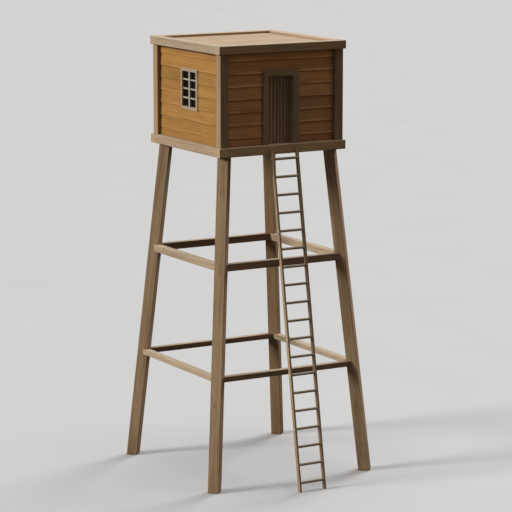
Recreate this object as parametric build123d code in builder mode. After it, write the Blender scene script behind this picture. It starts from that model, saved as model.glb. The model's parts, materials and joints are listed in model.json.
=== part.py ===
"""Timber watchtower: a boarded cabin on four splayed legs, with a ladder up to its door.

Millimetres. +Z is up and the door faces -Y. The origin lies on the ground, in the middle of the
whole footprint. The ladder's foot stands out in front, so the tower's own axis is at y = tower_y.
"""
import os
from math import atan, cos, degrees, hypot, sqrt

from build123d import *

os.makedirs("parts", exist_ok=True)

# Base frame, roof frame and corner posts
frame_width = 3000
beam_width = 190
base_bottom = 6860
base_height = 190
cabin_height = 1901
roof_height = 175
timber_round = 14
post_width = 190
post_setback = 40

# Floor and roof decks
floor_thickness = 50
floor_seat = 50
joist_width = 60
joist_count = 4
roof_deck_thickness = 60
roof_deck_drop = 50
roof_deck_groove = 30

# Splayed legs and the two rings of rails between them
leg_side = 230
leg_round = 12
leg_foot = 1826
leg_head = 1259
leg_overrun = 200
rail_thickness = 145
rail_round = 8
rail_rings = {"lower": (2256, 112), "upper": (4519, 150)}

# Walls, window and door
wall_thickness = 60
wall_recess = 105
window_width = 725
window_height = 875
window_bottom = 7686
casing_width = 72
casing_depth = 38
casing_lap = 40
lining_gap = 1
glass_thickness = 8
glass_inset = 18
glass_groove = 12
glass_gap = 2
doorway_width = 600
doorway_height = 1402
jamb_width = 125
jamb_depth = 190
jamb_proud = 50
head_height = 122
leaf_thickness = 40
leaf_gap = 6
leaf_proud = 6

# Strap hinges on the inside of the door
hinge_inset = 230
strap_thickness = 6
strap_height = 40
strap_length = 430
eye_radius = 13
pin_radius = 7
pin_clearance = 0.1
pin_top = 10
pin_edge = 18
bracket_height = 24
bracket_gap = 3
plate_width = 80
plate_height = 110

# Ladder
stile_width = 45
stile_depth = 85
stile_spacing = 586
stile_round = 6
ladder_foot = 2693
ladder_top = 6955
ladder_bite = 7
rung_count = 19
rung_radius = 28
rung_first = 188
rung_rise = 365.7
tenon_side = 30
tenon_clearance = 0.2

# Levels and places that follow from the dimensions above
base_top = base_bottom + base_height
cabin_top = base_top + cabin_height
roof_top = cabin_top + roof_height
half_frame = frame_width / 2
beam_inner = half_frame - beam_width
beam_axis = half_frame - beam_width / 2
post_outer = half_frame - post_setback
post_inner = post_outer - post_width
wall_outer = post_outer - wall_recess

# Ladder line: the back of the stile's top end is planed flat against the front base beam
ladder_head = half_frame + stile_depth / 2 - ladder_bite
ladder_lean = atan((ladder_foot - ladder_head) / ladder_top)
ladder_slope = (ladder_foot - ladder_head) / ladder_top

# The ladder's feet reach further forward than the legs' feet reach back
leg_tilt = atan(sqrt(2) * (leg_foot - leg_head) / base_bottom)
leg_corner = leg_side * (1 + 1 / cos(leg_tilt)) / (2 * sqrt(2)) - leg_round * (sqrt(2) - 1)
ladder_reach = ladder_foot + stile_depth / (2 * cos(ladder_lean))
tower_y = (ladder_reach - leg_foot - leg_corner) / 2

# Each side of the tower as seen from outside it: x_dir to the right, z_dir outwards
sides = {
    "front": Plane((0, tower_y, 0), x_dir=(1, 0, 0), z_dir=(0, -1, 0)),
    "right": Plane((0, tower_y, 0), x_dir=(0, 1, 0), z_dir=(1, 0, 0)),
    "back": Plane((0, tower_y, 0), x_dir=(-1, 0, 0), z_dir=(0, 1, 0)),
    "left": Plane((0, tower_y, 0), x_dir=(0, -1, 0), z_dir=(-1, 0, 0)),
}
corners = {
    "front_left": (-1, -1),
    "front_right": (1, -1),
    "back_left": (-1, 1),
    "back_right": (1, 1),
}


def save(builder, name):
    """Name a finished piece and write it to its own file."""
    builder.part.label = name
    export_step(builder.part, f"parts/{name}.step")


def across(side, start):
    """Plane square to a horizontal timber on one side; its x_dir points outwards, its y_dir up."""
    face = sides[side]
    return Plane(face.origin + face.x_dir * start, x_dir=face.z_dir, z_dir=-face.x_dir)


def deck(level, width, thickness):
    """Square sheet of decking centred on the tower, with its underside at a level."""
    with BuildPart() as sheet:
        with BuildSketch(Plane.XY.offset(level)):
            with Locations((0, tower_y)):
                Rectangle(width, width)
        extrude(amount=thickness)
    return sheet


def frame_beams(prefix, bottom, height, seated_deck):
    """Four beams round a deck: front and back run through, the sides butt between them."""
    for side in sides:
        half_length = half_frame if side in ("front", "back") else beam_inner
        with BuildPart() as beam:
            with BuildSketch(across(side, half_length)):
                with Locations((beam_axis, bottom + height / 2)):
                    RectangleRounded(beam_width, height, timber_round)
            extrude(amount=2 * half_length)
            add(seated_deck.part, mode=Mode.SUBTRACT)
        save(beam, f"{prefix}_beam_{side}")


# Legs: square timbers turned to face the corners, splayed outwards and cut level at both ends
legs = {}
for corner, (along_x, along_y) in corners.items():
    foot = Vector(along_x * leg_foot, tower_y + along_y * leg_foot, 0)
    head = Vector(along_x * leg_head, tower_y + along_y * leg_head, base_bottom)
    leg_axis = Plane(foot, x_dir=(-along_y, along_x, 0), z_dir=head - foot)
    with BuildPart() as leg:
        with BuildSketch(leg_axis.offset(-leg_overrun)):
            RectangleRounded(leg_side, leg_side, leg_round)
        extrude(amount=(head - foot).length + 2 * leg_overrun)
        split(bisect_by=Plane.XY, keep=Keep.TOP)
        split(bisect_by=Plane.XY.offset(base_bottom), keep=Keep.BOTTOM)
    legs[corner] = leg
    save(leg, f"leg_{corner}")

# Rails: level timbers that run from leg to leg, their ends cut to sit over the legs' arrises
for ring, (bottom, height) in rail_rings.items():
    middle = bottom + height / 2
    reach = leg_foot + (leg_head - leg_foot) * middle / base_bottom
    for side in sides:
        with BuildPart() as rail:
            with BuildSketch(across(side, reach)):
                with Locations((reach, middle)):
                    RectangleRounded(rail_thickness, height, rail_round)
            extrude(amount=2 * reach)
            for leg in legs.values():
                add(leg.part, mode=Mode.SUBTRACT)
        save(rail, f"{ring}_rail_{side}")

# Base frame with the floor let into its top edge, and joists under the floor
floor_width = 2 * (beam_inner + floor_seat)
floor_deck = deck(base_top - floor_thickness, floor_width, floor_thickness)
save(floor_deck, "floor_deck")
frame_beams("base", base_bottom, base_height, floor_deck)
with BuildPart() as floor_joists:
    with BuildSketch(Plane.XY.offset(base_bottom)):
        with Locations((0, tower_y)):
            with GridLocations(2 * beam_inner / (joist_count + 1), 0, joist_count, 1):
                Rectangle(joist_width, 2 * beam_inner)
    extrude(amount=base_height - floor_thickness)
save(floor_joists, "floor_joists")

# Roof frame: its beams stand up as a rim round a sunken deck that is held in their grooves
roof_deck_bottom = roof_top - roof_deck_drop - roof_deck_thickness
roof_deck_width = 2 * (beam_inner + roof_deck_groove)
roof_deck = deck(roof_deck_bottom, roof_deck_width, roof_deck_thickness)
save(roof_deck, "roof_deck")
frame_beams("roof", cabin_top, roof_height, roof_deck)

# Corner posts between the two frames
for corner, (along_x, along_y) in corners.items():
    post_axis = post_outer - post_width / 2
    with BuildPart() as post:
        with BuildSketch(Plane.XY.offset(base_top)):
            with Locations((along_x * post_axis, tower_y + along_y * post_axis)):
                RectangleRounded(post_width, post_width, timber_round)
        extrude(amount=cabin_height)
    save(post, f"corner_post_{corner}")

# Walls with a window: boarded panels between the posts, set back from the posts' faces
window_middle = window_bottom + window_height / 2
hole_width = window_width - 2 * casing_lap
hole_height = window_height - 2 * casing_lap
pane_width = window_width - 2 * casing_width
pane_height = window_height - 2 * casing_width
glass_back = wall_outer - glass_inset - glass_thickness
window_sides = ("left", "right", "back")
for side in window_sides:
    with BuildPart() as wall:
        with BuildSketch(sides[side].offset(wall_outer - wall_thickness)):
            with Locations((0, base_top + cabin_height / 2)):
                Rectangle(2 * post_inner, cabin_height)
            with Locations((0, window_middle)):
                Rectangle(hole_width, hole_height, mode=Mode.SUBTRACT)
        extrude(amount=wall_thickness)
    save(wall, f"{side}_wall")

    # A casing laid on the wall and a lining through it, grooved all round for the glass
    with BuildPart() as window_frame:
        with BuildSketch(sides[side].offset(wall_outer)):
            with Locations((0, window_middle)):
                Rectangle(window_width, window_height)
        extrude(amount=casing_depth)
        casing_rim = window_frame.faces().sort_by(Axis(sides[side].origin, sides[side].z_dir))[-1]
        chamfer(casing_rim.outer_wire().edges(), length=casing_depth / 6)
        with BuildSketch(sides[side].offset(wall_outer - wall_thickness)):
            with Locations((0, window_middle)):
                Rectangle(hole_width - 2 * lining_gap, hole_height - 2 * lining_gap)
        extrude(amount=wall_thickness)
        with BuildSketch(sides[side].offset(wall_outer - wall_thickness)):
            with Locations((0, window_middle)):
                Rectangle(pane_width, pane_height)
        extrude(amount=wall_thickness + casing_depth, mode=Mode.SUBTRACT)
        with BuildSketch(sides[side].offset(glass_back)):
            with Locations((0, window_middle)):
                Rectangle(pane_width + 2 * glass_groove, pane_height + 2 * glass_groove)
        extrude(amount=glass_thickness, mode=Mode.SUBTRACT)
    save(window_frame, f"window_frame_{side}")

glass_lap = glass_groove - glass_gap
with BuildPart() as window_glass:
    for side in window_sides:
        with BuildSketch(sides[side].offset(glass_back)):
            with Locations((0, window_middle)):
                Rectangle(pane_width + 2 * glass_lap, pane_height + 2 * glass_lap)
        extrude(amount=glass_thickness)
save(window_glass, "window_glass")

# Front wall: one panel each side of the doorway and one over it
doorway_top = base_top + doorway_height
head_top = doorway_top + head_height
jamb_outer = doorway_width / 2 + jamb_width
side_panel = post_inner - jamb_outer
front_panels = {
    "front_wall_left": (-jamb_outer - side_panel / 2, base_top, side_panel),
    "front_wall_right": (jamb_outer + side_panel / 2, base_top, side_panel),
    "front_wall_over_door": (0, head_top, 2 * jamb_outer),
}
for name, (centre, bottom, width) in front_panels.items():
    with BuildPart() as panel:
        with BuildSketch(sides["front"].offset(wall_outer - wall_thickness)):
            with Locations((centre, (bottom + cabin_top) / 2)):
                Rectangle(width, cabin_top - bottom)
        extrude(amount=wall_thickness)
    save(panel, name)

# Door frame: deep jambs under a head, standing proud of the wall
jamb_front = wall_outer + jamb_proud
jamb_back = jamb_front - jamb_depth
jamb_middle = (doorway_width + jamb_width) / 2
door_frame = {
    "door_jamb_left": (-jamb_middle, base_top, jamb_width, doorway_height),
    "door_jamb_right": (jamb_middle, base_top, jamb_width, doorway_height),
    "door_head": (0, doorway_top, 2 * jamb_outer, head_height),
}
for name, (centre, bottom, width, height) in door_frame.items():
    with BuildPart() as member:
        with BuildSketch(sides["front"].offset(jamb_back)):
            with Locations((centre, bottom + height / 2)):
                Rectangle(width, height)
        extrude(amount=jamb_depth)
    save(member, name)

# Door leaf at the back of the frame; it swings into the cabin on the right-hand jamb
leaf_back = jamb_back - leaf_proud
leaf_width = doorway_width - 2 * leaf_gap
leaf_height = doorway_height - 2 * leaf_gap
with BuildPart() as door_leaf:
    with BuildSketch(sides["front"].offset(leaf_back)):
        with Locations((0, base_top + doorway_height / 2)):
            Rectangle(leaf_width, leaf_height)
    extrude(amount=leaf_thickness)
save(door_leaf, "door_leaf")

# Hinges: straps across the leaf end in eyes that turn on pins held by brackets on the jamb
pin_x = doorway_width / 2 + pin_edge
pin_y = tower_y - (leaf_back - eye_radius)
strap_y = tower_y - leaf_back + strap_thickness / 2
hinge_levels = (base_top + hinge_inset, doorway_top - hinge_inset)
with BuildPart() as door_straps:
    for level in hinge_levels:
        with BuildSketch(Plane.XY.offset(level - strap_height / 2)):
            with Locations((pin_x, pin_y)):
                Circle(eye_radius)
            with Locations((pin_x - strap_length / 2, strap_y)):
                Rectangle(strap_length, strap_thickness)
            with Locations((pin_x, pin_y)):
                Circle(pin_radius + pin_clearance, mode=Mode.SUBTRACT)
        extrude(amount=strap_height)
save(door_straps, "door_straps")

jamb_face_y = tower_y - jamb_back
plate_y = jamb_face_y + strap_thickness / 2
plate_x = pin_x + eye_radius + bracket_gap + plate_width / 2
with BuildPart() as door_pintles:
    for level in hinge_levels:
        arm_top = level - strap_height / 2 - bracket_gap
        with BuildSketch(Plane.XY.offset(arm_top - bracket_height)):
            with Locations(((pin_x - eye_radius + plate_x) / 2, (jamb_face_y + pin_y + eye_radius) / 2)):
                Rectangle(plate_x - pin_x + eye_radius, pin_y + eye_radius - jamb_face_y)
        extrude(amount=bracket_height)
        with BuildSketch(Plane.XY.offset(arm_top)):
            with Locations((pin_x, pin_y)):
                Circle(pin_radius)
        extrude(amount=bracket_gap + strap_height + pin_top)
        with Locations((plate_x, plate_y, level)):
            Box(plate_width, strap_thickness, plate_height)
save(door_pintles, "door_pintles")

# Ladder: two leaning stiles, cut level on the ground and flat against the front base beam
beam_face = sides["front"].offset(half_frame)
stile_length = hypot(ladder_top, ladder_foot - ladder_head)
rung_levels = [rung_first + step * rung_rise for step in range(rung_count)]
rung_places = [(tower_y - ladder_foot + ladder_slope * level, level) for level in rung_levels]
mortise_side = tenon_side + tenon_clearance
for name, offset_x in (("left", -stile_spacing / 2), ("right", stile_spacing / 2)):
    foot = Vector(offset_x, tower_y - ladder_foot, 0)
    head = Vector(offset_x, tower_y - ladder_head, ladder_top)
    stile_axis = Plane(foot, x_dir=(1, 0, 0), z_dir=head - foot)
    with BuildPart() as stile:
        with BuildSketch(stile_axis.offset(-leg_overrun)):
            RectangleRounded(stile_width, stile_depth, stile_round)
        extrude(amount=stile_length + leg_overrun)
        split(bisect_by=Plane.XY, keep=Keep.TOP)
        split(bisect_by=beam_face, keep=Keep.TOP)
        with BuildSketch(Plane.YZ.offset(offset_x - stile_width)):
            with Locations(*rung_places):
                Rectangle(mortise_side, mortise_side, rotation=-degrees(ladder_lean))
        extrude(amount=2 * stile_width, mode=Mode.SUBTRACT)
    save(stile, f"ladder_stile_{name}")

# Round rungs between the stiles, with square tenons that pass through them and end flush
rung_length = stile_spacing - stile_width
tenon_length = stile_spacing + stile_width
with BuildPart() as ladder_rungs:
    with BuildSketch(Plane.YZ.offset(-rung_length / 2)):
        with Locations(*rung_places):
            Circle(rung_radius)
    extrude(amount=rung_length)
    with BuildSketch(Plane.YZ.offset(-tenon_length / 2)):
        with Locations(*rung_places):
            Rectangle(tenon_side, tenon_side, rotation=-degrees(ladder_lean))
    extrude(amount=tenon_length)
save(ladder_rungs, "ladder_rungs")
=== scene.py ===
"""Looks of the timber watchtower: lapped boards, decking, window bars, door, nails and wood materials."""

import json
import math
import random
from types import SimpleNamespace

import bmesh
import bpy
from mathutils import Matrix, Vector


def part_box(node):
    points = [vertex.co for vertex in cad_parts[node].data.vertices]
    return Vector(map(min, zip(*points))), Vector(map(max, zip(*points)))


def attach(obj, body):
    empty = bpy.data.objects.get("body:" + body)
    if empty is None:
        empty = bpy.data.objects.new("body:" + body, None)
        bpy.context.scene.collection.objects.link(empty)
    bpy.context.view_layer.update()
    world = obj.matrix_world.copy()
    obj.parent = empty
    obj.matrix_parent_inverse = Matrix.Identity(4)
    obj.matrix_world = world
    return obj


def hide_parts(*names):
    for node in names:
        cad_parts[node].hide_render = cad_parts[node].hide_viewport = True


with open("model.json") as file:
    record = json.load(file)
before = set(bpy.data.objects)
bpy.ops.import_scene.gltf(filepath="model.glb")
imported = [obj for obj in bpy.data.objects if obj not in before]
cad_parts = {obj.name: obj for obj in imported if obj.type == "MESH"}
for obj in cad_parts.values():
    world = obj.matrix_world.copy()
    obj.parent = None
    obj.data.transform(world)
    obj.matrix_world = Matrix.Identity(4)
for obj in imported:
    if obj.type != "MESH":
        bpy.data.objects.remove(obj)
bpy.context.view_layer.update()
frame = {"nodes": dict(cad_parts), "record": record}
nodes = frame["nodes"]
rng = random.Random(11)

RIGHT = Vector((1, 0, 0))
BACK = Vector((0, 1, 0))
UP = Vector((0, 0, 1))

# Places read from the CAD nodes, in metres
deck_low, deck_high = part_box("roof_deck")
AXIS = Vector((0, (deck_low.y + deck_high.y) / 2, 0))
wall_low, wall_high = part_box("left_wall")
WALL_OUTER = -wall_low.x
WALL_INNER = -wall_high.x
WALL_HALF = (wall_high.y - wall_low.y) / 2
WALL_BOTTOM = wall_low.z
WALL_TOP = wall_high.z
casing_low, casing_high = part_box("window_frame_left")
CASING_FACE = -casing_low.x
CASING_HALF = (casing_high.y - casing_low.y) / 2
head_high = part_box("door_head")[1]
DOOR_HALF = head_high.x
glass_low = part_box("window_glass")[0]
GLASS_FRONT = -glass_low.x

# Sizes of CAD pieces that no box shows
CASING_WIDTH = 0.072
GLASS_THICKNESS = 0.008
WINDOW_HALF = CASING_HALF - CASING_WIDTH

# Wall boards: the lap lines stand at the same heights on all four walls
FIRST_LAP = 7.215
BOARD_PITCH = 0.2625
LAP_LINES = 7
LAPS = [WALL_BOTTOM] + [FIRST_LAP + BOARD_PITCH * k for k in range(LAP_LINES)] + [WALL_TOP]
LAP_BUTT = 0.024
LAP_TOP = 0.006
LAP_SLOPE = (LAP_TOP - LAP_BUTT) / BOARD_PITCH
LINING = 0.012
EDGE_STEP = 0.17
EDGE_STRAY = 0.0014

# Nails: their heads, their places along a wall and on a deck, and how far they stray from them
NAIL_RADIUS = 0.0055
NAIL_HEIGHT = 0.0025
NAIL_SIDES = 8
WALL_NAILS = (-1.225, -0.83, -0.475, 0.475, 0.83, 1.225)
WALL_NAIL_RISE = 0.034
WALL_NAIL_STRAY = 0.006
DECK_NAILS = (-1.17, -0.58, 0.0, 0.58, 1.17)
DECK_NAIL_SHARES = (0.25, 0.75)
DECK_NAIL_STRAY = 0.008
DECK_NAIL_REACH = 1.26

# Decks: boards in each, and the open joints of the roof
DECK_BOARDS = 18
ROOF_GAP = 0.002

# Glazing bars: those outside the glass stand behind the casing's face, those inside it are slimmer
UPRIGHT_WIDTH = 0.054
LEVEL_WIDTH = 0.033
PANE_ROWS = 4
UPRIGHT_SETBACK = 0.008
LEVEL_SETBACK = 0.023
INSIDE_DEPTH = 0.022
INSIDE_SLIM = 0.006

# Door: upright planks with cover strips outside, ledges and braces inside
STRIP_DEPTH = 0.014
STRIP_WIDTH = 0.042
PLANK_DEPTH = 0.013
PLANK_PITCH = 0.0808
PLANK_LEAST = 0.001
LEDGE_HALF = 0.055
LEDGE_INSET = 0.022
LEDGE_FROM_STRAP_END = 0.02
BRACE_INSET = 0.042
BRACE_WIDTH = 0.12

# Eased edges
SHARP_ANGLE = math.radians(40)
LAP_ARRIS = 0.0025
BOARD_ARRIS = 0.003
BAR_ARRIS = 0.004
DECK_ARRIS = 0.004
FRAME_ARRIS = 0.005
WELD_REACH = 0.00005

# For each side of the cabin: to the right as seen from outside, and outward
SIDES = {
    "front": (Vector((1, 0, 0)), Vector((0, -1, 0))),
    "right": (Vector((0, 1, 0)), Vector((1, 0, 0))),
    "back": (Vector((-1, 0, 0)), Vector((0, 1, 0))),
    "left": (Vector((0, -1, 0)), Vector((-1, 0, 0))),
}


def spot(side, along, out, up):
    """Point on one side of the cabin: along it to the right, out from the tower's axis, and up."""
    right, outward = SIDES[side]
    return AXIS + right * along + outward * out + UP * up


def ease_edges(thing, width, segments=2):
    """Take the sharp arrises off."""
    bevel = thing.modifiers.new("Arris", "BEVEL")
    bevel.width = width
    bevel.segments = segments
    bevel.limit_method = "ANGLE"
    bevel.angle_limit = SHARP_ANGLE


class Boards:
    """Closed solids gathered into one mesh; each carries its own three random numbers."""

    def __init__(self):
        self.points = []
        self.faces = []
        self.tags = []

    def tag(self, count):
        """Draw the random numbers of one solid, for all of its points."""
        self.tags += [rng.uniform(-1, 1) for _ in range(3)] * count

    def prism(self, front, back):
        """Solid between two outlines with as many points each."""
        start, count = len(self.points), len(front)
        self.tag(2 * count)
        self.points += list(front) + list(back)
        self.faces.append(tuple(range(start, start + count)))
        self.faces.append(tuple(range(start + 2 * count - 1, start + count - 1, -1)))
        for i in range(count):
            j = (i + 1) % count
            self.faces.append((start + j, start + i, start + count + i, start + count + j))

    def slab(self, low, high):
        """Upright box between two corners."""
        ring = [(low.x, low.y), (high.x, low.y), (high.x, high.y), (low.x, high.y)]
        self.prism([Vector((x, y, high.z)) for x, y in ring], [Vector((x, y, low.z)) for x, y in ring])

    def nail(self, centre, right, up):
        """Domed nail head whose shank side is sunk into the wood."""
        normal = right.cross(up)
        start = len(self.points)

        # Each ring of the head: its share of the radius, and of the height
        sunk, shoulder, crown = (1.0, -1.0), (1.0, 0.3), (0.55, 1.0)
        rings = (sunk, shoulder, crown)
        for wide, lift in rings:
            for i in range(NAIL_SIDES):
                turn = 2 * math.pi * i / NAIL_SIDES
                arm = right * math.cos(turn) + up * math.sin(turn)
                self.points.append(centre + arm * NAIL_RADIUS * wide + normal * NAIL_HEIGHT * lift)
        self.tag(len(rings) * NAIL_SIDES)
        for low in (start, start + NAIL_SIDES):
            high = low + NAIL_SIDES
            for i in range(NAIL_SIDES):
                j = (i + 1) % NAIL_SIDES
                self.faces.append((low + i, low + j, high + j, high + i))
        self.faces.append(tuple(start + i for i in reversed(range(NAIL_SIDES))))
        self.faces.append(tuple(start + 2 * NAIL_SIDES + i for i in range(NAIL_SIDES)))

    def piece(self, name, material, slot, body="tower", arris=0.0, segments=2):
        """Turn the gathered solids into one piece that rides on a body."""
        mesh = bpy.data.meshes.new(name)
        mesh.from_pydata([tuple(p) for p in self.points], [], self.faces)
        tags = mesh.attributes.new("board", "FLOAT_VECTOR", "POINT")
        tags.data.foreach_set("vector", self.tags)
        shell = bmesh.new()
        shell.from_mesh(mesh)
        bmesh.ops.recalc_face_normals(shell, faces=shell.faces)
        shell.to_mesh(mesh)
        shell.free()
        mesh.materials.append(material)
        thing = bpy.data.objects.new(name, mesh)
        bpy.context.scene.collection.objects.link(thing)
        if arris:
            ease_edges(thing, arris, segments)
        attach(thing, body)
        return thing


class Shader:
    """A node material built from small steps, each of which gives the socket with its result."""

    def __init__(self, name):
        self.material = bpy.data.materials.new(name)
        self.material.use_nodes = True
        self.tree = self.material.node_tree
        self.tree.nodes.clear()
        output = self.tree.nodes.new("ShaderNodeOutputMaterial")
        self.surface = self.tree.nodes.new("ShaderNodeBsdfPrincipled")
        self.tree.links.new(self.surface.outputs[0], output.inputs[0])

    def put(self, socket, value):
        """Link another socket to this one, or set a plain value on it."""
        if isinstance(value, bpy.types.NodeSocket):
            self.tree.links.new(value, socket)
        else:
            socket.default_value = value

    def add(self, kind, inputs, output=0, **settings):
        """Make a node of one kind with its inputs and settings, and give one of its outputs."""
        node = self.tree.nodes.new("ShaderNode" + kind)
        for key, value in settings.items():
            setattr(node, key, value)
        for key, value in inputs.items():
            self.put(node.inputs[key], value)
        return node.outputs[output]

    def set(self, **inputs):
        """Fill sockets of the surface, named with _ for each blank."""
        for key, value in inputs.items():
            self.put(self.surface.inputs[key.replace("_", " ")], value)

    def math(self, operation, *values):
        return self.add("Math", dict(enumerate(values)), operation=operation)

    def times(self, *values):
        result = values[0]
        for value in values[1:]:
            result = self.math("MULTIPLY", result, value)
        return result

    def vector(self, operation, *values):
        return self.add("VectorMath", dict(enumerate(values)), operation=operation)

    def dot(self, a, b):
        return self.add("VectorMath", {0: a, 1: b}, output="Value", operation="DOT_PRODUCT")

    def scaled(self, vector, factor):
        return self.add("VectorMath", {0: vector, "Scale": factor}, operation="SCALE")

    def part(self, vector, axis):
        return self.add("SeparateXYZ", {0: vector}, output=axis)

    def mix(self, factor, a, b):
        return self.add("Mix", {0: factor, 6: a, 7: b}, output=2, data_type="RGBA")

    def span(self, value, low, high, to_low=0.0, to_high=1.0):
        """Pass smoothly from to_low to to_high while the value goes from low to high."""
        ends = {"Value": value, "From Min": low, "From Max": high, "To Min": to_low, "To Max": to_high}
        return self.add("MapRange", ends, interpolation_type="SMOOTHSTEP")

    def noise(self, vector, scale, detail=2.0, roughness=0.5):
        inputs = {"Vector": vector, "Scale": scale, "Detail": detail, "Roughness": roughness}
        return self.add("TexNoise", inputs)

    def bump(self, height, strength, distance):
        return self.add("Bump", {"Strength": strength, "Distance": distance, "Height": height})


def rgb(red, green, blue):
    """Colour given as the eye sees it, 0 to 255, turned into linear light."""
    def linear(value):
        value /= 255
        return value / 12.92 if value <= 0.04045 else ((value + 0.055) / 1.055) ** 2.4

    return (linear(red), linear(green), linear(blue), 1.0)


def tinted(colour, tint):
    """Colour multiplied by a tint, channel by channel."""
    return tuple(c * k for c, k in zip(colour[:3], tint)) + (1.0,)


# What a wood has unless its own line says otherwise. Every wood also states its plain colour (mid), how far
# its streaks leave that colour (swing), how dark its growth rings are (ring) and how pale its arrises are,
# from wear and a painted highlight (wear).
PLAIN_WOOD = dict(
    tone=0.0,                     # spread of brightness from board to board
    split=0.5,                    # darkness of drying checks
    lip=0.0,                      # strength of the painted highlight along the lower edges of lapped boards
    lip_cast=(1.35, 1.35, 1.35),  # tint of that painted highlight
    dirt=0.0,                     # darkness of the painted shade under the lap above
    dry=0.0,                      # painted light: how much paler the boards are near the eaves, and darker lower down
    lee=None,                     # painted shade: tint of the faces turned away from the sun
    bleach=0.0,                   # how silvery the tops are, from bleaching and a painted highlight
    soot=0.38,                    # darkness of the painted shade in inner corners
    nook=0.12,                    # reach of that painted shade, in metres
    grime=0.0,                    # darkness of splashes near the ground
)
LEG = dict(swing=0.7, ring=0.12, wear=0.35, grime=0.14)
BEAM = dict(swing=0.42, ring=0.1, wear=0.4, bleach=0.5)
BOARD = dict(swing=0.55, ring=0.1, split=0.25)
WINDOW = dict(swing=0.4, ring=0.06, wear=0.3)
DOORWAY = dict(swing=0.5, ring=0.1, wear=0.35)
WOODS = {
    "leg": dict(LEG, mid=rgb(151, 125, 94)),
    # Painted light: the front right leg takes a lighter copy of the leg wood
    "pale_leg": dict(LEG, mid=rgb(161, 134, 101)),
    "red_leg": dict(LEG, mid=rgb(150, 120, 85)),
    # Frame, fascia, rail and post: lee is painted shade on the faces turned away from the sun; the fascia
    # has more of it
    "frame": dict(BEAM, mid=rgb(177, 151, 122), lee=(1.07, 1.08, 0.8)),
    "fascia": dict(BEAM, mid=rgb(168, 148, 123), lee=(0.91, 0.78, 0.59)),
    "rail": dict(mid=rgb(174, 152, 125), swing=0.5, ring=0.1, wear=0.4, bleach=0.5, lee=(0.56, 0.51, 0.46)),
    "post": dict(mid=rgb(164, 137, 104), swing=0.5, ring=0.1, wear=0.4, lee=(0.74, 0.76, 0.75)),
    # Wall boards: lip is a painted highlight on the lower edges, dirt is painted shade under the laps
    "wall": dict(BOARD, mid=rgb(162, 118, 58), tone=0.12, wear=0.5, lip=0.5, dirt=0.18),
    # Painted light: the front wall is a lighter, redder copy of the wall wood, with more painted highlight,
    # shade and eaves light
    "front_wall": dict(BOARD, mid=rgb(178, 132, 82), tone=0.14, wear=0.6, lip=0.8, lip_cast=(1.5, 1.8, 2.6),
                       dirt=0.3, dry=0.22, soot=0.45, nook=0.16),
    "lining": dict(BOARD, mid=rgb(168, 124, 66), tone=0.14, wear=0.3),
    "deck": dict(mid=rgb(182, 158, 133), swing=0.45, ring=0.06, tone=0.04, wear=0.2),
    "casing": dict(WINDOW, mid=rgb(162, 142, 117)),
    "bars": dict(WINDOW, mid=rgb(177, 165, 149)),
    # Jamb, reveal, head, planks and rungs: soot is painted shade in their inner corners
    "jamb": dict(DOORWAY, mid=rgb(144, 122, 97), soot=0.15),
    # Painted light: lighter copies of the jamb wood for the right jamb's reveal and for the head
    "reveal": dict(DOORWAY, mid=rgb(192, 173, 130), soot=0.1, lee=(0.53, 0.46, 0.53)),
    "head": dict(DOORWAY, mid=rgb(158, 135, 101), soot=0.15),
    "planks": dict(DOORWAY, mid=rgb(157, 134, 105), tone=0.08, soot=0.3, nook=0.05),
    "ladder": dict(mid=rgb(162, 140, 110), swing=0.6, ring=0.1, wear=0.45),
    # Rungs: paler from wear; their lighter tops and darker undersides are painted highlight and painted
    # shade
    "rung": dict(mid=rgb(185, 168, 142), swing=0.45, ring=0.08, wear=0.3, bleach=0.8, soot=0.2,
                 lee=(0.8, 0.83, 0.8)),
}

# Tints of the plain colour, and of boards that are redder or more golden than their neighbours
DEEP = (0.70, 0.62, 0.52)
PALE = (1.16, 1.18, 1.12)
# Tint of the tops: bleached wood and a painted highlight
SILVER_AND_SHEEN = (1.2, 1.32, 1.5)
KNOT = (0.36, 0.36, 0.36)
# Tint of the arrises: wear and a painted highlight
WORN_AND_LIT = (1.25, 1.25, 1.25)
RED_CAST = (1.02, 0.975, 1.03, 1.0)
GOLD_CAST = (0.985, 1.02, 0.95, 1.0)
NO_TINT = (1.0, 1.0, 1.0, 1.0)

# How far apart in the tree boards and timbers are cut, in metres
BOARDS_APART = 9.0
TIMBERS_APART = (3.1, 5.7, 7.9)

# Where the weather and painted light act: heights in metres, the direction to the sun that decides the
# painted shade, and the reach of wear and painted highlight at an arris
EAVES_FROM, EAVES_TO = 7.7, 8.45
SPLASH_FROM, SPLASH_TO = 0.25, 0.95
SUNWARD = (-0.75, 0.0, 0.66)
ARRIS_REACH = 0.014
WOOD_ROUGHNESS = 0.74
ROUGHNESS_SWING = 0.1


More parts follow.
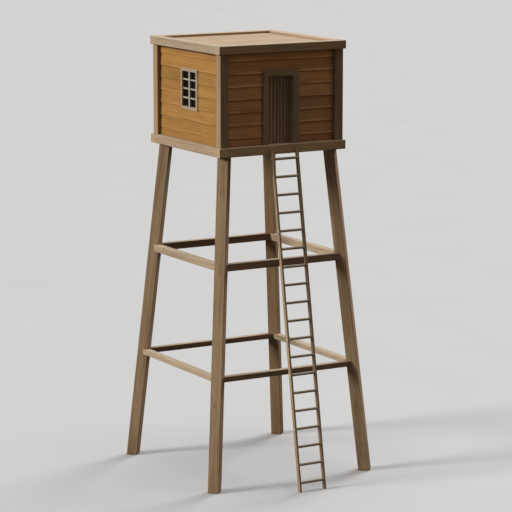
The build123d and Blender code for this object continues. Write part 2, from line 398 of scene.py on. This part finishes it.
class Wood(Shader):
    """Weathered timber with its fibres along a direction, or along a level one in the middle of a casing."""

    def __init__(self, name, run, level, look):
        super().__init__(name)
        self.run = run
        self.look = SimpleNamespace(**{**PLAIN_WOOD, **look})
        self.deep = self.leaning_to(DEEP)
        self.pale = self.leaning_to(PALE)
        self.place = self.add("TexCoord", {}, output="Object")
        self.facing = self.add("TexCoord", {}, output="Normal")
        self.tag = self.add("Attribute", {}, output="Vector", attribute_name="board")
        self.lot = self.add("ObjectInfo", {}, output="Random")
        self.lay_grain(level)
        self.draw_figure()
        colour = self.plain()
        if self.look.lip:
            colour = self.lapped(colour)
        colour = self.cut_ends(colour)
        colour = self.paint_sides_and_tops(colour)
        colour = self.edges_corners_splashes(colour)
        self.finish(colour)

    def leaning_to(self, tint):
        """The plain colour, moved towards a tint by the wood's own swing."""
        return tinted(self.look.mid, [1 + self.look.swing * (k - 1) for k in tint])

    def turned(self, run):
        """Places turned so that x lies along a direction."""
        turn = run.rotation_difference(RIGHT).to_euler()
        return self.add("Mapping", {"Vector": self.place, "Rotation": turn})

    def lay_grain(self, level):
        """Grain space: x along the fibres; every board and timber is cut from its own part of the tree."""
        along = self.turned(self.run)
        if level is not None:
            from_axis = self.vector("SUBTRACT", self.place, tuple(AXIS))
            off_middle = self.math("ABSOLUTE", self.dot(from_axis, tuple(level)))
            upright = self.math("GREATER_THAN", off_middle, WINDOW_HALF)
            along = self.mix(upright, self.turned(level), along)
        shift = self.vector("ADD", self.scaled(self.tag, BOARDS_APART), self.scaled(TIMBERS_APART, self.lot))
        self.grain = self.vector("ADD", along, shift)

    def drawn_out(self, along, across):
        """Grain space with so many features to the metre along the fibres and across them."""
        return self.vector("MULTIPLY", self.grain, (along, across, across))

    def waves(self, space, distortion, detail, **settings):
        inputs = {"Vector": space, "Scale": 1.0, "Distortion": distortion, "Detail": detail}
        return self.add("TexWave", inputs, output="Fac", **settings)

    def draw_figure(self):
        """Streaks, casts, fibres, patches, growth rings, drying checks and knots."""
        self.streak = self.noise(self.drawn_out(0.5, 15), 1.0, 3.0, 0.6)
        self.cast = self.noise(self.drawn_out(0.35, 6), 1.0, 2.0)
        self.fibre = self.noise(self.drawn_out(4, 160), 1.0, 2.0, 0.6)
        self.patch = self.noise(self.grain, 1.4, 3.0)
        self.rings = self.waves(self.drawn_out(0.45, 12), 6.0, 2.0, bands_direction="DIAGONAL")
        checks = self.noise(self.drawn_out(0.8, 38), 1.0, 1.0)
        off_check = self.math("ABSOLUTE", self.math("SUBTRACT", checks, 0.5))
        self.check = self.times(self.span(off_check, 0.02, 0.004), self.span(self.patch, 0.5, 0.62))
        cells = {"Vector": self.drawn_out(2.6, 8), "Scale": 1.0}
        from_heart = self.add("TexVoronoi", cells, output="Distance")
        cell_lot = self.part(self.add("TexVoronoi", cells, output="Color"), "X")
        self.knot = self.times(self.span(from_heart, 0.2, 0.08), self.math("GREATER_THAN", cell_lot, 0.92))

    def plain(self):
        """Colour of the fresh wood: streaks from deep to mid, paler casts, knots, and boards that differ."""
        look = self.look
        board_tone, board_depth, board_hue = (self.part(self.tag, axis) for axis in "XYZ")
        colour = self.mix(self.span(self.streak, 0.34, 0.62), self.deep, look.mid)
        colour = self.mix(self.times(self.span(self.cast, 0.46, 0.72), 0.7), colour, self.pale)
        colour = self.mix(self.span(board_depth, 0.1, 1.0, 0.0, 0.65), colour, self.pale)
        colour = self.mix(self.span(board_depth, -0.2, -1.0, 0.0, 0.55), colour, self.deep)
        colour = self.mix(self.times(self.knot, 0.65), colour, tinted(self.deep, KNOT))
        shade = self.times(
            self.span(self.fibre, 0.25, 0.75, 0.86, 1.1),
            self.span(self.rings, 0.0, 1.0, 1.0 - look.ring, 1.0 + 0.3 * look.ring),
            self.math("MULTIPLY_ADD", board_tone, look.tone, 1.0),
            self.math("MULTIPLY_ADD", self.lot, 0.14, 0.93),
            self.math("MULTIPLY_ADD", self.check, -look.split, 1.0),
            self.span(self.patch, 0.3, 0.7, 0.92, 1.06),
        )
        colour = self.scaled(colour, shade)
        if look.tone:
            hue = self.mix(self.span(board_hue, -1.0, 1.0), RED_CAST, GOLD_CAST)
            colour = self.vector("MULTIPLY", colour, hue)
        return colour

    def lapped(self, colour):
        """Lapped boards, with painted light: a painted highlight along parts of their lower edges, painted
        shade under a lap, paler near the eaves and darker lower down.
        """
        look = self.look
        height = self.part(self.place, "Z")
        rise = self.math("SUBTRACT", height, FIRST_LAP)
        share = self.math("FRACT", self.math("DIVIDE", rise, BOARD_PITCH))
        # Painted highlight along parts of each board's lower edge
        edge_highlight = self.times(self.span(share, 0.2, 0.0), self.span(self.patch, 0.38, 0.6), look.lip)
        colour = self.mix(edge_highlight, colour, tinted(self.pale, look.lip_cast))
        # Painted shade at the top of each board, under the lap above
        colour = self.scaled(colour, self.span(share, 0.86, 0.98, 1.0, 1.0 - look.dirt))
        # Painted light: paler towards the eaves, darker lower down
        eaves_gain = self.span(height, EAVES_FROM, EAVES_TO, 1.0 - 0.4 * look.dry, 1.0 + look.dry)
        return self.scaled(colour, eaves_gain)

    def cut_ends(self, colour):
        """Cut ends show paler rings across the fibres."""
        ends = self.span(self.math("ABSOLUTE", self.dot(self.facing, tuple(self.run))), 0.7, 0.9)
        rings = self.waves(self.drawn_out(0, 9), 3.0, 1.0, wave_type="RINGS", rings_direction="X")
        ringed = self.mix(self.times(rings, 0.5), self.pale, self.deep)
        return self.mix(ends, colour, self.scaled(ringed, self.span(self.patch, 0.3, 0.7, 0.9, 1.1)))

    def paint_sides_and_tops(self, colour):
        """Faces turned away from the sun get painted shade, a tint of their own; tops are paler, from
        bleaching and a painted highlight.
        """
        look = self.look
        if look.lee:
            # Painted shade: a tint on the faces turned away from the sun
            toward_sun = self.span(self.dot(self.facing, SUNWARD), 0.15, 0.55)
            colour = self.vector("MULTIPLY", colour, self.mix(toward_sun, look.lee + (1.0,), NO_TINT))
        if look.bleach:
            # Tops paler: bleached, and a painted highlight
            top = self.span(self.part(self.facing, "Z"), 0.5, 0.9)
            colour = self.mix(self.times(top, look.bleach), colour, tinted(self.pale, SILVER_AND_SHEEN))
        return colour

    def edges_corners_splashes(self, colour):
        """Arrises paler from wear and a painted highlight, painted shade in the inner corners, and splashes
        near the ground.
        """
        look = self.look
        rounded = self.add("Bevel", {"Radius": ARRIS_REACH}, samples=4)
        flat = self.add("NewGeometry", {}, output="Normal")
        # Arrises paler: wear, and a painted highlight
        arris = self.span(self.dot(rounded, flat), 0.985, 0.88)
        rubbed_and_lit = self.times(arris, self.span(self.cast, 0.35, 0.6), look.wear)
        colour = self.mix(rubbed_and_lit, colour, tinted(self.pale, WORN_AND_LIT))
        # Painted shade: darker where other parts close the surface in
        openness = self.add("AmbientOcclusion", {"Distance": look.nook}, output="AO", samples=6)
        colour = self.scaled(colour, self.span(openness, 0.25, 0.85, 1.0 - look.soot, 1.0))
        if look.grime:
            splash = self.math("MULTIPLY_ADD", self.patch, 0.5, self.part(self.place, "Z"))
            colour = self.scaled(colour, self.span(splash, SPLASH_FROM, SPLASH_TO, 1.0 - look.grime, 1.0))
        return colour

    def finish(self, colour):
        """Fill the surface: fibres and rings stand up a little, checks are sunk."""
        height = self.math("ADD", self.times(self.fibre, 0.5), self.times(self.rings, 0.35))
        height = self.math("SUBTRACT", height, self.times(self.check, 1.2))
        dull, sleek = WOOD_ROUGHNESS + ROUGHNESS_SWING, WOOD_ROUGHNESS - ROUGHNESS_SWING
        self.set(Base_Color=colour, Roughness=self.span(self.streak, 0.2, 0.8, dull, sleek))
        self.set(Normal=self.bump(height, 0.55, 0.003), Specular_IOR_Level=0.3)


timbers = {}


def timber(kind, run, level=None):
    """Wood of one kind with its grain along a direction; each direction is made once."""
    run = Vector(run).normalized()
    key = (kind, tuple(round(c, 3) for c in run), level and tuple(level))
    if key not in timbers:
        timbers[key] = Wood(f"{kind}_timber_{len(timbers):02d}", run, level, WOODS[kind]).material
    return timbers[key]


def iron():
    """Black iron with a rough scale and rust in patches."""
    black, rusty = (0.030, 0.028, 0.026, 1), (0.11, 0.05, 0.024, 1)
    s = Shader("black_iron")
    place = s.add("TexCoord", {}, output="Object")
    scale = s.noise(place, 45.0, 4.0, 0.6)
    rust = s.span(s.noise(place, 14.0, 3.0), 0.55, 0.72)
    s.set(Base_Color=s.mix(s.times(rust, 0.6), black, rusty), Metallic=0.7)
    s.set(Roughness=s.span(scale, 0.3, 0.7, 0.42, 0.68), Normal=s.bump(scale, 0.4, 0.001))
    return s.material


def window_glass():
    """Glass with a dark tint, which is painted shade for the dark room behind it, and a film of dust in
    patches.
    """
    clean, dusty = (0.085, 0.07, 0.055, 1), (0.065, 0.053, 0.04, 1)
    s = Shader("window_glass")
    dust = s.noise(s.add("TexCoord", {}, output="Object"), 5.0, 4.0, 0.65)
    s.set(Base_Color=s.mix(s.span(dust, 0.4, 0.75), clean, dusty))
    s.set(Roughness=s.span(dust, 0.3, 0.8, 0.03, 0.16))
    s.set(Specular_IOR_Level=0.25, IOR=1.45, Transmission_Weight=0.94)
    return s.material


IRON = iron()
GLASS = window_glass()

# Kinds of wood by material slot, and those of single nodes that differ from the rest of their slot
SLOT_KINDS = {
    "leg_timber": "leg",
    "frame_timber": "frame",
    "wall_boards": "wall",
    "deck_boards": "deck",
    "window_timber": "casing",
    "door_timber": "jamb",
    "ladder_timber": "ladder",
}
OWN_KINDS = {
    # pale_leg is a lighter copy of the leg wood: painted light
    "leg_front_right": "pale_leg",
    "leg_back_right": "red_leg",
    "roof_beam_front": "fascia",
    "roof_beam_left": "fascia",
    # reveal and head are lighter copies of the jamb wood: painted light
    "door_jamb_right": "reveal",
    "door_head": "head",
    "ladder_rungs": "rung",
}
END_REACH = 0.15


def kind_of(name, slot):
    """Kind of wood of one CAD node."""
    if "_rail_" in name:
        return "rail"
    if name.startswith("corner_post"):
        return "post"
    return OWN_KINDS.get(name, SLOT_KINDS[slot])


def run_of(name):
    """Direction of a timber's fibres: along its length, also where it leans."""
    if name.startswith(("leg_", "ladder_stile")):
        spots = [v.co for v in nodes[name].data.vertices]
        low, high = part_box(name)
        foot = [p for p in spots if p.z < low.z + END_REACH]
        head = [p for p in spots if p.z > high.z - END_REACH]
        return sum(head, Vector()) / len(head) - sum(foot, Vector()) / len(foot)
    if name == "ladder_rungs":
        return RIGHT
    if name.startswith("window_frame"):
        return UP
    low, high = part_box(name)
    size = list(high - low)
    longest = size.index(max(size))
    return Vector([float(i == longest) for i in range(3)])


def material_of(name, slot):
    """Material of one CAD node; a window's casing has upright and level timbers in one."""
    if slot == "glass":
        return GLASS
    if slot == "iron":
        return IRON
    kind = kind_of(name, slot)
    level = SIDES[name.split("_")[-1]][0] if kind == "casing" else None
    return timber(kind, run_of(name), level)


for subpart in frame["record"]["subparts"]:
    node = nodes[subpart["node"]]
    node.data.materials.clear()
    node.data.materials.append(material_of(node.name, subpart["material_slot"]))

for name in ("door_jamb_left", "door_jamb_right", "door_head", "floor_joists"):
    weld = nodes[name].modifiers.new("Weld", "WELD")
    weld.merge_threshold = WELD_REACH
    ease_edges(nodes[name], FRAME_ARRIS)


def outlines(half, low, high, cut):
    """Outline of one wall board, notched or parted where the rectangle cut is left open."""
    left, right, bottom, top = cut
    if high <= bottom or low >= top:
        return [[(-half, low), (half, low), (half, high), (-half, high)]]
    if low < bottom:
        notch = [(right, high), (right, bottom), (left, bottom), (left, high)]
        return [[(-half, low), (half, low), (half, high)] + notch + [(-half, high)]]
    if high > top:
        notch = [(left, low), (left, top), (right, top), (right, low)]
        return [[(-half, low)] + notch + [(half, low), (half, high), (-half, high)]]
    return [
        [(-half, low), (left, low), (left, high), (-half, high)],
        [(right, low), (half, low), (half, high), (right, high)],
    ]


def waver(outline, low):
    """Break a board's lower edge into short lengths that wander a little, as a sawn edge does."""
    result = []
    for (x0, z0), (x1, z1) in zip(outline, outline[1:] + outline[:1]):
        result.append((x0, z0))
        if z0 == z1 == low:
            lengths = max(1, round(abs(x1 - x0) / EDGE_STEP))
            for i in range(1, lengths):
                share = i / lengths
                result.append((x0 + (x1 - x0) * share, z0 + rng.uniform(-EDGE_STRAY, EDGE_STRAY)))
    return result


def clad(side, cut, nails):
    """Lapped boards outside one wall, flush boards inside it, and the nails that hold the laps."""
    right = SIDES[side][0]
    outside, inside = Boards(), Boards()

    def lap_face(rise):
        """How far out a board's face stands at a height above its lower edge."""
        return WALL_OUTER + LAP_BUTT + LAP_SLOPE * rise

    for low, high in zip(LAPS, LAPS[1:]):
        for outline in outlines(WALL_HALF, low, high, cut):
            edge = waver(outline, low)
            outside.prism(
                [spot(side, x, lap_face(z - low), z) for x, z in edge],
                [spot(side, x, WALL_OUTER, z) for x, z in edge],
            )
            inside.prism(
                [spot(side, -x, WALL_INNER - LINING, z) for x, z in outline],
                [spot(side, -x, WALL_INNER, z) for x, z in outline],
            )
            first, last = min(x for x, _ in outline), max(x for x, _ in outline)
            for x in WALL_NAILS:
                if first < x < last:
                    along = x + rng.uniform(-WALL_NAIL_STRAY, WALL_NAIL_STRAY)
                    nails.nail(spot(side, along, lap_face(WALL_NAIL_RISE), low + WALL_NAIL_RISE), right, UP)
    # The front wall takes a lighter copy of the wall wood: painted light
    kind = "front_wall" if side == "front" else "wall"
    outside.piece(f"wall_boards_{side}", timber(kind, right), "wall_boards", arris=LAP_ARRIS)
    inside.piece(f"wall_lining_{side}", timber("lining", right), "wall_boards", arris=BOARD_ARRIS)


wall_nails = Boards()
window_cut = (-CASING_HALF, CASING_HALF, casing_low.z, casing_high.z)
door_cut = (-DOOR_HALF, DOOR_HALF, WALL_BOTTOM, head_high.z)
for side in SIDES:
    clad(side, door_cut if side == "front" else window_cut, wall_nails)
wall_nails.piece("wall_nails", IRON, "iron")


def decking(name, node, gap=0.0):
    """Boards that fill a deck's own sheet, run along X and meet in V joints."""
    low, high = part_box(node)
    boards, nails = Boards(), Boards()
    pitch = (high.y - low.y) / DECK_BOARDS
    for k in range(DECK_BOARDS):
        y = low.y + pitch * k
        boards.slab(Vector((low.x, y, low.z)), Vector((high.x, y + pitch - gap, high.z)))
        for x in DECK_NAILS:
            for share in DECK_NAIL_SHARES:
                along = x + rng.uniform(-DECK_NAIL_STRAY, DECK_NAIL_STRAY)
                place = Vector((along, y + pitch * share, high.z))
                if abs(place.y - AXIS.y) < DECK_NAIL_REACH:
                    nails.nail(place, RIGHT, BACK)
    deck = boards.piece(name, timber("deck", RIGHT), "deck_boards", arris=DECK_ARRIS, segments=1)
    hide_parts(node)
    nails.piece(f"{name}_nails", IRON, "iron")


decking("roof_boards", "roof_deck", ROOF_GAP)
decking("floor_boards", "floor_deck")


def window_bars(side):
    """Glazing bars on both faces of the glass: one upright and three level bars, two panes by four."""
    low, high = casing_low.z + CASING_WIDTH, casing_high.z - CASING_WIDTH
    pane = (high - low - LEVEL_WIDTH * (PANE_ROWS - 1)) / PANE_ROWS
    glass_back = GLASS_FRONT - GLASS_THICKNESS
    uprights, levels = Boards(), Boards()

    def bar(boards, x0, x1, z0, z1, inner, outer):
        ring = [(x0, z0), (x1, z0), (x1, z1), (x0, z1)]
        boards.prism([spot(side, x, outer, z) for x, z in ring], [spot(side, x, inner, z) for x, z in ring])

    # Inner face of all, outer face of the upright, outer face of the level bars, and what each edge loses.
    # Outside the glass, the upright stands forward of the level bars, which are let in behind its face.
    outside = (GLASS_FRONT, CASING_FACE - UPRIGHT_SETBACK, CASING_FACE - LEVEL_SETBACK, 0.0)
    inside = (glass_back - INSIDE_DEPTH, glass_back, glass_back, INSIDE_SLIM)
    for inner, upright_face, level_face, slim in (outside, inside):
        edge = UPRIGHT_WIDTH / 2 - slim
        bar(uprights, -edge, edge, low, high, inner, upright_face)
        for k in range(1, PANE_ROWS):
            z = low + k * (pane + LEVEL_WIDTH) - LEVEL_WIDTH
            for x0, x1 in ((-WINDOW_HALF, -edge), (edge, WINDOW_HALF)):
                bar(levels, x0, x1, z + slim, z + LEVEL_WIDTH - slim, inner, level_face)
    uprights.piece(f"window_uprights_{side}", timber("bars", UP), "window_timber", arris=BAR_ARRIS)
    levels.piece(f"window_bars_{side}", timber("bars", SIDES[side][0]), "window_timber", arris=BAR_ARRIS)


for side in ("left", "right", "back"):
    window_bars(side)


def plank_door():
    """Planks with upright cover strips outside, and ledges with braces inside, in the leaf's own box."""
    low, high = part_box("door_leaf")
    plank_face = low.y + STRIP_DEPTH
    plank_back = plank_face + PLANK_DEPTH
    leaf, frame_work = Boards(), Boards()
    right = high.x
    while right > low.x + PLANK_LEAST:
        left = max(right - PLANK_PITCH, low.x)
        leaf.slab(Vector((left, plank_face, low.z)), Vector((right, plank_back, high.z)))
        if right - left > STRIP_WIDTH:
            strip_left = right - PLANK_PITCH / 2 - STRIP_WIDTH / 2
            strip_right = strip_left + STRIP_WIDTH
            leaf.slab(Vector((strip_left, low.y, low.z)), Vector((strip_right, plank_face, high.z)))
        right = left

    # Ledges stand behind the hinge straps and half way up; braces rise from the hinge side
    straps_low, straps_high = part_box("door_straps")
    bottom_ledge = straps_low.z + LEDGE_FROM_STRAP_END
    top_ledge = straps_high.z - LEDGE_FROM_STRAP_END
    ledges = [bottom_ledge, (straps_low.z + straps_high.z) / 2, top_ledge]
    for z in ledges:
        frame_work.slab(
            Vector((low.x + LEDGE_INSET, plank_back, z - LEDGE_HALF)),
            Vector((high.x - LEDGE_INSET, high.y, z + LEDGE_HALF)),
        )
    hinge_end, free_end = high.x - BRACE_INSET, low.x + BRACE_INSET
    for below, above in zip(ledges, ledges[1:]):
        foot, head = below + LEDGE_HALF, above - LEDGE_HALF
        ring = [
            (hinge_end - BRACE_WIDTH, foot),
            (hinge_end, foot),
            (free_end + BRACE_WIDTH, head),
            (free_end, head),
        ]
        frame_work.prism(
            [Vector((x, high.y, z)) for x, z in ring],
            [Vector((x, plank_back, z)) for x, z in ring],
        )
    planks = leaf.piece("door_planks", timber("planks", UP), "door_timber", "door", arris=BOARD_ARRIS)
    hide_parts("door_leaf")
    frame_work.piece("door_ledges", timber("planks", RIGHT), "door_timber", "door", arris=BOARD_ARRIS)


plank_door()

# Stage
FLOOR_REACH = 600.0
FLOOR_TONES = ((0.47, 0.47, 0.47, 1), (0.51, 0.51, 0.505, 1))
AMBIENT = 0.07
WARM = (1.0, 0.62, 0.47)
LENS_MM = 173.52
SENSOR_MM = 36
VIEW_REACH = 2000
CAMERA_PLACE = (-25.649, -44.387, 13.640)
CAMERA_DIP = 0.17546
CAMERA_TURN = -0.52392


def pale_floor():
    """Plain pale floor; it throws no light back up, because the ground in the photo is dark."""
    near, far = -FLOOR_REACH, FLOOR_REACH
    mesh = bpy.data.meshes.new("floor")
    mesh.from_pydata([(near, near, 0), (far, near, 0), (far, far, 0), (near, far, 0)], [], [(0, 1, 2, 3)])
    s = Shader("floor")
    tone = s.noise(s.add("TexCoord", {}, output="Object"), 0.35, 3.0)
    s.set(Base_Color=s.mix(tone, *FLOOR_TONES), Roughness=0.9, Specular_IOR_Level=0.15)
    mesh.materials.append(s.material)
    floor = bpy.data.objects.new("floor", mesh)
    bpy.context.scene.collection.objects.link(floor)
    floor.visible_diffuse = False
    floor.visible_glossy = False


def sun(name, toward, strength, softness, colour=(1, 1, 1)):
    """Soft light that travels in one direction; its softness is the angle it fills, in degrees."""
    light = bpy.data.lights.new(name, "SUN")
    light.energy = strength
    light.color = colour
    light.angle = math.radians(softness)
    lamp = bpy.data.objects.new(name, light)
    lamp.rotation_euler = Vector(toward).to_track_quat("-Z", "Y").to_euler()
    bpy.context.scene.collection.objects.link(lamp)


def studio_light():
    """Key from the left, rim from the right and behind, light from above, and a little all round.

    Two weak warm lights from the front reach the shaded sides: one from nearly straight ahead, and one from
    the right, which casts the dark bands beside the right corner post and the right door jamb.
    """
    sun("key", (1.0, -0.16, -0.40), 3.3, 18)
    sun("rim", (-0.80, -0.35, -0.45), 2.4, 30)
    sun("top", (-0.1, -0.04, -1.0), 1.5, 50)
    sun("fill", (0.3, 1.0, -0.32), 0.095, 40, WARM)
    sun("side", (-1.0, 0.8, -0.3), 0.21, 40, WARM)
    world = bpy.data.worlds.new("studio")
    world.use_nodes = True
    background = world.node_tree.nodes["Background"]
    background.inputs["Color"].default_value = (1, 1, 1, 1)
    background.inputs["Strength"].default_value = AMBIENT
    bpy.context.scene.world = world
    bpy.context.scene.view_settings.view_transform = "Standard"


def photo_camera():
    """Camera fitted to the photo's edges."""
    lens = bpy.data.cameras.new("photo")
    lens.lens = LENS_MM
    lens.sensor_width = SENSOR_MM
    lens.clip_end = VIEW_REACH
    camera = bpy.data.objects.new("photo", lens)
    camera.location = CAMERA_PLACE
    camera.rotation_euler = (math.pi / 2 - CAMERA_DIP, 0, CAMERA_TURN)
    bpy.context.scene.collection.objects.link(camera)
    bpy.context.scene.camera = camera


pale_floor()
studio_light()
photo_camera()
